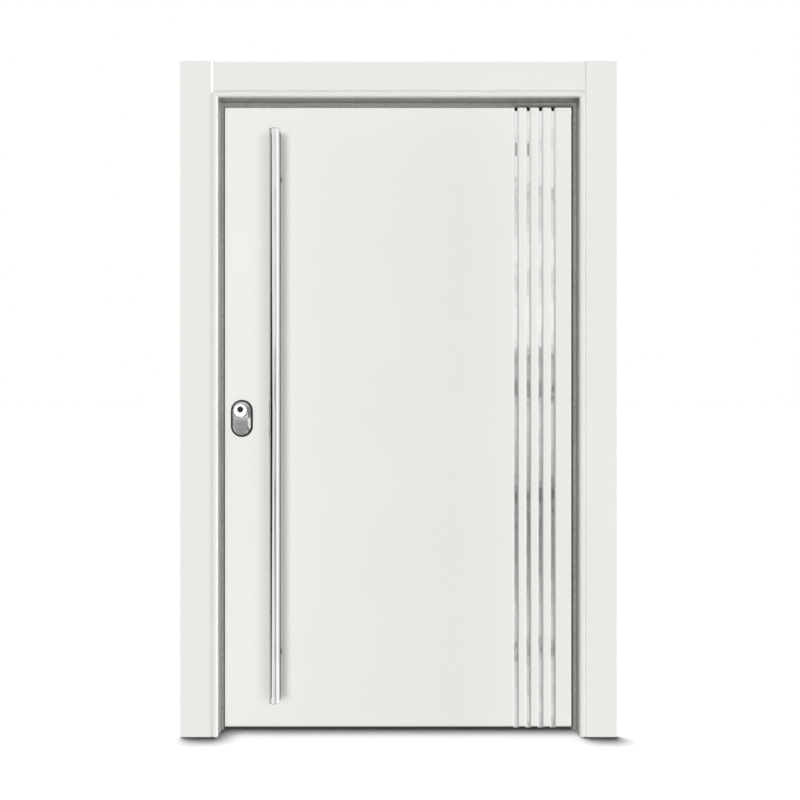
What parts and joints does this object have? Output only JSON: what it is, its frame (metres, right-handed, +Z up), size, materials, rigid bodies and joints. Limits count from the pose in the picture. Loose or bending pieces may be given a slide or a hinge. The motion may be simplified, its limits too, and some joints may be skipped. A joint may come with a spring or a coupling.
{
  "type": "pivot entrance door",
  "caption": "Wide white entrance door on a floor and head pivot, with a full-height pull bar, inlaid metal strips, a grey folded-steel frame and white casings.",
  "frame": {"origin": "on the floor under the leaf, midway between the jambs, in the closed leaf's middle plane, which lies on the underside of the floor strip", "axes": "+X across the doorway from the lock jamb to the pivot jamb, +Y into the building, +Z up"},
  "size_m": [1.448, 0.256, 2.238],
  "materials": {
    "casing_white": "satin",
    "panel_white": "satin",
    "frame_grey": "satin",
    "core_paint": "satin",
    "gasket_rubber": "matte",
    "strip_metal": "polished",
    "bar_metal": "satin",
    "plate_metal": "satin",
    "guard_metal": "polished",
    "cylinder_black": "satin",
    "base_black": "satin",
    "handle_metal": "satin",
    "lock_steel": "satin",
    "bolt_metal": "polished",
    "floor_metal": "satin",
    "pivot_steel": "satin",
    "seal_aluminium": "satin"
  },
  "bodies": {
    "frame": {"frame_jamb_lock": "frame_grey", "frame_jamb_pivot": "frame_grey", "frame_head": "frame_grey", "strike_plates": "lock_steel", "stop_lock": "frame_grey", "stop_head": "frame_grey", "cover_bar_pivot": "frame_grey", "cover_bar_head": "frame_grey", "inner_stop_pivot": "frame_grey", "inner_stop_head": "frame_grey", "outer_gasket": "gasket_rubber", "inner_gasket": "gasket_rubber", "outer_casing_left": "casing_white", "outer_casing_right": "casing_white", "outer_casing_head": "casing_white", "bead_left": "casing_white", "bead_right": "casing_white", "bead_head": "casing_white", "inner_lining_left": "casing_white", "inner_lining_right": "casing_white", "inner_lining_head": "casing_white", "inner_casing_left": "casing_white", "inner_casing_right": "casing_white", "inner_casing_head": "casing_white", "floor_strip": "floor_metal", "floor_pivot": "pivot_steel", "head_pivot": "pivot_steel"},
    "leaf": {"leaf_core": "core_paint", "outer_panel": "panel_white", "inner_panel": "panel_white", "inlay_strip_1": "strip_metal", "inlay_strip_2": "strip_metal", "inlay_strip_3": "strip_metal", "inlay_strip_4": "strip_metal", "pull_bar": "bar_metal", "bar_end_caps": "bar_metal", "bar_posts": "bar_metal", "escutcheon_base": "base_black", "outer_escutcheon": "plate_metal", "cylinder_guard": "guard_metal", "lock_cylinder": "cylinder_black", "lock_faceplates": "lock_steel", "lock_bolts": "bolt_metal", "turn_rose": "handle_metal", "thumb_turn": "handle_metal", "lever_rose": "handle_metal", "lever_handle": "handle_metal", "drop_seal": "seal_aluminium", "pivot_shoes": "pivot_steel"}
  },
  "joints": [
    {"name": "leaf_swing", "type": "hinge", "parent": "frame", "child": "leaf", "pos_m": [0.433, 0, 0], "axis": [0, 0, -1], "range_deg": [0, 90]}
  ]
}
